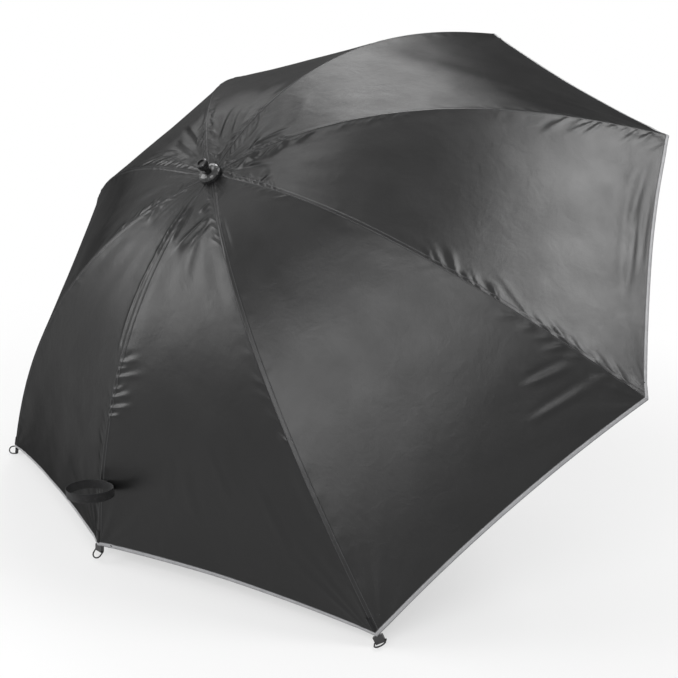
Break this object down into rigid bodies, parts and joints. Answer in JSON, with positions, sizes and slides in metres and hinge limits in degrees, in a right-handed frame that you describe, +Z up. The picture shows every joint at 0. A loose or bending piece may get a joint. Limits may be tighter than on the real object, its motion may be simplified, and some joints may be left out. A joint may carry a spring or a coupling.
{
  "type": "fishing umbrella",
  "caption": "Open flat-backed fishing umbrella, leaning over its short back rib, with a folding frame, a tilting two-section pole and tie rings for pegging down",
  "frame": {"origin": "on the ground, in the middle of the umbrella's footprint", "axes": "+Z up, +X to the right of someone who looks at the short back rib from the open front, +Y from the open front towards the short back rib"},
  "size_m": [2.2212, 1.6748, 1.3703],
  "materials": {
    "coated_cloth": "satin, coated polyester",
    "black_webbing": "woven webbing",
    "black_nylon": "moulded, matte",
    "gloss_black": "gloss",
    "black_steel": "black coated steel",
    "dark_fibreglass": "satin fibreglass",
    "grey_aluminium": "satin anodised"
  },
  "bodies": {
    "pole_head": {"crown": "black_nylon", "top_cap": "gloss_black", "finial": "gloss_black", "upper_pole": "grey_aluminium", "knuckle_upper": "black_nylon", "tilt_bolt": "black_steel"},
    "rib_1": {"rib_1": "dark_fibreglass", "rib_clip_1": "black_nylon", "tip_boot_1": "black_nylon", "canopy_panel_1": "coated_cloth", "storage_strap": "black_webbing"},
    "stretcher_1": {"stretcher_1": "black_steel"},
    "rib_2": {"rib_2": "dark_fibreglass", "rib_clip_2": "black_nylon", "tip_boot_2": "black_nylon", "canopy_panel_2": "coated_cloth"},
    "stretcher_2": {"stretcher_2": "black_steel"},
    "rib_3": {"rib_3": "dark_fibreglass", "rib_clip_3": "black_nylon", "tip_cap_3": "black_nylon", "canopy_panel_3": "coated_cloth"},
    "stretcher_3": {"stretcher_3": "black_steel"},
    "rib_4": {"rib_4": "dark_fibreglass", "rib_clip_4": "black_nylon", "tip_cap_4": "black_nylon", "canopy_panel_4": "coated_cloth"},
    "stretcher_4": {"stretcher_4": "black_steel"},
    "rib_5": {"rib_5": "dark_fibreglass", "rib_clip_5": "black_nylon", "tip_cap_5": "black_nylon", "canopy_panel_5": "coated_cloth"},
    "stretcher_5": {"stretcher_5": "black_steel"},
    "rib_6": {"rib_6": "dark_fibreglass", "rib_clip_6": "black_nylon", "tip_cap_6": "black_nylon", "canopy_panel_6": "coated_cloth"},
    "stretcher_6": {"stretcher_6": "black_steel"},
    "rib_7": {"rib_7": "dark_fibreglass", "rib_clip_7": "black_nylon", "tip_cap_7": "black_nylon", "canopy_panel_7": "coated_cloth"},
    "stretcher_7": {"stretcher_7": "black_steel"},
    "rib_8": {"rib_8": "dark_fibreglass", "rib_clip_8": "black_nylon", "tip_boot_8": "black_nylon", "canopy_panel_8": "coated_cloth"},
    "stretcher_8": {"stretcher_8": "black_steel"},
    "runner": {"runner": "black_nylon"},
    "runner_knob": {"runner_knob": "black_nylon"},
    "lower_pole": {"knuckle_lower": "black_nylon", "lower_pole": "grey_aluminium", "clamp_collar": "black_nylon"},
    "inner_pole": {"inner_pole": "grey_aluminium", "ground_spike": "black_steel"},
    "tilt_knob": {"tilt_knob": "black_nylon"},
    "clamp_knob": {"clamp_knob": "black_nylon"},
    "tie_ring_1": {"tie_ring_1": "black_steel"},
    "tie_ring_2": {"tie_ring_2": "black_steel"},
    "tie_ring_8": {"tie_ring_8": "black_steel"}
  },
  "joints": [
    {"name": "rib_1_fold", "type": "hinge", "parent": "pole_head", "child": "rib_1", "pos_m": [0, 0.37696, 0.96994], "axis": [-1, 0, 0], "range_deg": [0, 57], "deforming": ["canopy_panel_1"]},
    {"name": "stretcher_1_turn", "type": "hinge", "parent": "rib_1", "child": "stretcher_1", "pos_m": [0, 0.58596, 0.67738], "axis": [-1, 0, 0], "range_deg": [-114, 0]},
    {"name": "rib_2_fold", "type": "hinge", "parent": "pole_head", "child": "rib_2", "pos_m": [-0.0198, 0.37116, 0.97574], "axis": [-0.7071, -0.5, 0.5], "range_deg": [0, 57], "deforming": ["canopy_panel_2"]},
    {"name": "stretcher_2_turn", "type": "hinge", "parent": "rib_2", "child": "stretcher_2", "pos_m": [-0.27058, 0.50671, 0.75663], "axis": [-0.7071, -0.5, 0.5], "range_deg": [-114, 0]},
    {"name": "rib_3_fold", "type": "hinge", "parent": "pole_head", "child": "rib_3", "pos_m": [-0.028, 0.35716, 0.98974], "axis": [0, -0.7071, 0.7071], "range_deg": [0, 57], "deforming": ["canopy_panel_3"]},
    {"name": "stretcher_3_turn", "type": "hinge", "parent": "rib_3", "child": "stretcher_3", "pos_m": [-0.38266, 0.31538, 0.94796], "axis": [0, -0.7071, 0.7071], "range_deg": [-114, 0]},
    {"name": "rib_4_fold", "type": "hinge", "parent": "pole_head", "child": "rib_4", "pos_m": [-0.0198, 0.34316, 1.00374], "axis": [0.7071, -0.5, 0.5], "range_deg": [0, 57], "deforming": ["canopy_panel_4"]},
    {"name": "stretcher_4_turn", "type": "hinge", "parent": "rib_4", "child": "stretcher_4", "pos_m": [-0.27058, 0.12405, 1.13929], "axis": [0.7071, -0.5, 0.5], "range_deg": [-114, 0]},
    {"name": "rib_5_fold", "type": "hinge", "parent": "pole_head", "child": "rib_5", "pos_m": [0, 0.33736, 1.00954], "axis": [1, 0, 0], "range_deg": [0, 57], "deforming": ["canopy_panel_5"]},
    {"name": "stretcher_5_turn", "type": "hinge", "parent": "rib_5", "child": "stretcher_5", "pos_m": [0, 0.0448, 1.21854], "axis": [1, 0, 0], "range_deg": [-114, 0]},
    {"name": "rib_6_fold", "type": "hinge", "parent": "pole_head", "child": "rib_6", "pos_m": [0.0198, 0.34316, 1.00374], "axis": [0.7071, 0.5, -0.5], "range_deg": [0, 57], "deforming": ["canopy_panel_6"]},
    {"name": "stretcher_6_turn", "type": "hinge", "parent": "rib_6", "child": "stretcher_6", "pos_m": [0.27058, 0.12405, 1.13929], "axis": [0.7071, 0.5, -0.5], "range_deg": [-114, 0]},
    {"name": "rib_7_fold", "type": "hinge", "parent": "pole_head", "child": "rib_7", "pos_m": [0.028, 0.35716, 0.98974], "axis": [0, 0.7071, -0.7071], "range_deg": [0, 57], "deforming": ["canopy_panel_7"]},
    {"name": "stretcher_7_turn", "type": "hinge", "parent": "rib_7", "child": "stretcher_7", "pos_m": [0.38266, 0.31538, 0.94796], "axis": [0, 0.7071, -0.7071], "range_deg": [-114, 0]},
    {"name": "rib_8_fold", "type": "hinge", "parent": "pole_head", "child": "rib_8", "pos_m": [0.0198, 0.37116, 0.97574], "axis": [-0.7071, 0.5, -0.5], "range_deg": [0, 57], "deforming": ["canopy_panel_8"]},
    {"name": "stretcher_8_turn", "type": "hinge", "parent": "rib_8", "child": "stretcher_8", "pos_m": [0.27058, 0.50671, 0.75663], "axis": [-0.7071, 0.5, -0.5], "range_deg": [-114, 0]},
    {"name": "runner_pivot", "type": "hinge", "parent": "stretcher_1", "child": "runner", "pos_m": [0, 0.29339, 0.88638], "axis": [-1, 0, 0], "range_deg": [0, 57]},
    {"name": "runner_knob_turn", "type": "hinge", "parent": "runner", "child": "runner_knob", "pos_m": [0, 0.25392, 0.8865], "axis": [1, 0, 0], "range_deg": [0, 270]},
    {"name": "pole_tilt", "type": "hinge", "parent": "pole_head", "child": "lower_pole", "pos_m": [0, -0.20172, 0.43086], "axis": [-1, 0, 0], "range_deg": [-75, 0]},
    {"name": "pole_extension", "type": "slide", "parent": "lower_pole", "child": "inner_pole", "axis": [0, -0.7071, -0.7071], "range_m": [0, 0.28]},
    {"name": "tilt_knob_turn", "type": "hinge", "parent": "pole_head", "child": "tilt_knob", "pos_m": [0, -0.20172, 0.43086], "axis": [1, 0, 0], "range_deg": [0, 270]},
    {"name": "clamp_knob_turn", "type": "hinge", "parent": "lower_pole", "child": "clamp_knob", "pos_m": [0, -0.54646, 0.08613], "axis": [1, 0, 0], "range_deg": [0, 270]},
    {"name": "tie_ring_1_swing", "type": "hinge", "parent": "rib_1", "child": "tie_ring_1", "pos_m": [0, 0.73145, 0.02873], "axis": [-1, 0, 0], "range_deg": [-68, 152]},
    {"name": "tie_ring_2_swing", "type": "hinge", "parent": "rib_2", "child": "tie_ring_2", "pos_m": [-0.78982, 0.49493, 0.01054], "axis": [-0.7071, -0.5, 0.5], "range_deg": [-28, 192]},
    {"name": "tie_ring_8_swing", "type": "hinge", "parent": "rib_8", "child": "tie_ring_8", "pos_m": [0.78982, 0.49493, 0.01054], "axis": [-0.7071, 0.5, -0.5], "range_deg": [-28, 192]}
  ],
  "couplings": [
    {"joint": "stretcher_1_turn", "follows": "rib_1_fold", "ratio": -2},
    {"joint": "rib_2_fold", "follows": "rib_1_fold", "ratio": 1},
    {"joint": "stretcher_2_turn", "follows": "rib_1_fold", "ratio": -2},
    {"joint": "rib_3_fold", "follows": "rib_1_fold", "ratio": 1},
    {"joint": "stretcher_3_turn", "follows": "rib_1_fold", "ratio": -2},
    {"joint": "rib_4_fold", "follows": "rib_1_fold", "ratio": 1},
    {"joint": "stretcher_4_turn", "follows": "rib_1_fold", "ratio": -2},
    {"joint": "rib_5_fold", "follows": "rib_1_fold", "ratio": 1},
    {"joint": "stretcher_5_turn", "follows": "rib_1_fold", "ratio": -2},
    {"joint": "rib_6_fold", "follows": "rib_1_fold", "ratio": 1},
    {"joint": "stretcher_6_turn", "follows": "rib_1_fold", "ratio": -2},
    {"joint": "rib_7_fold", "follows": "rib_1_fold", "ratio": 1},
    {"joint": "stretcher_7_turn", "follows": "rib_1_fold", "ratio": -2},
    {"joint": "rib_8_fold", "follows": "rib_1_fold", "ratio": 1},
    {"joint": "stretcher_8_turn", "follows": "rib_1_fold", "ratio": -2},
    {"joint": "runner_pivot", "follows": "rib_1_fold", "ratio": 1}
  ]
}
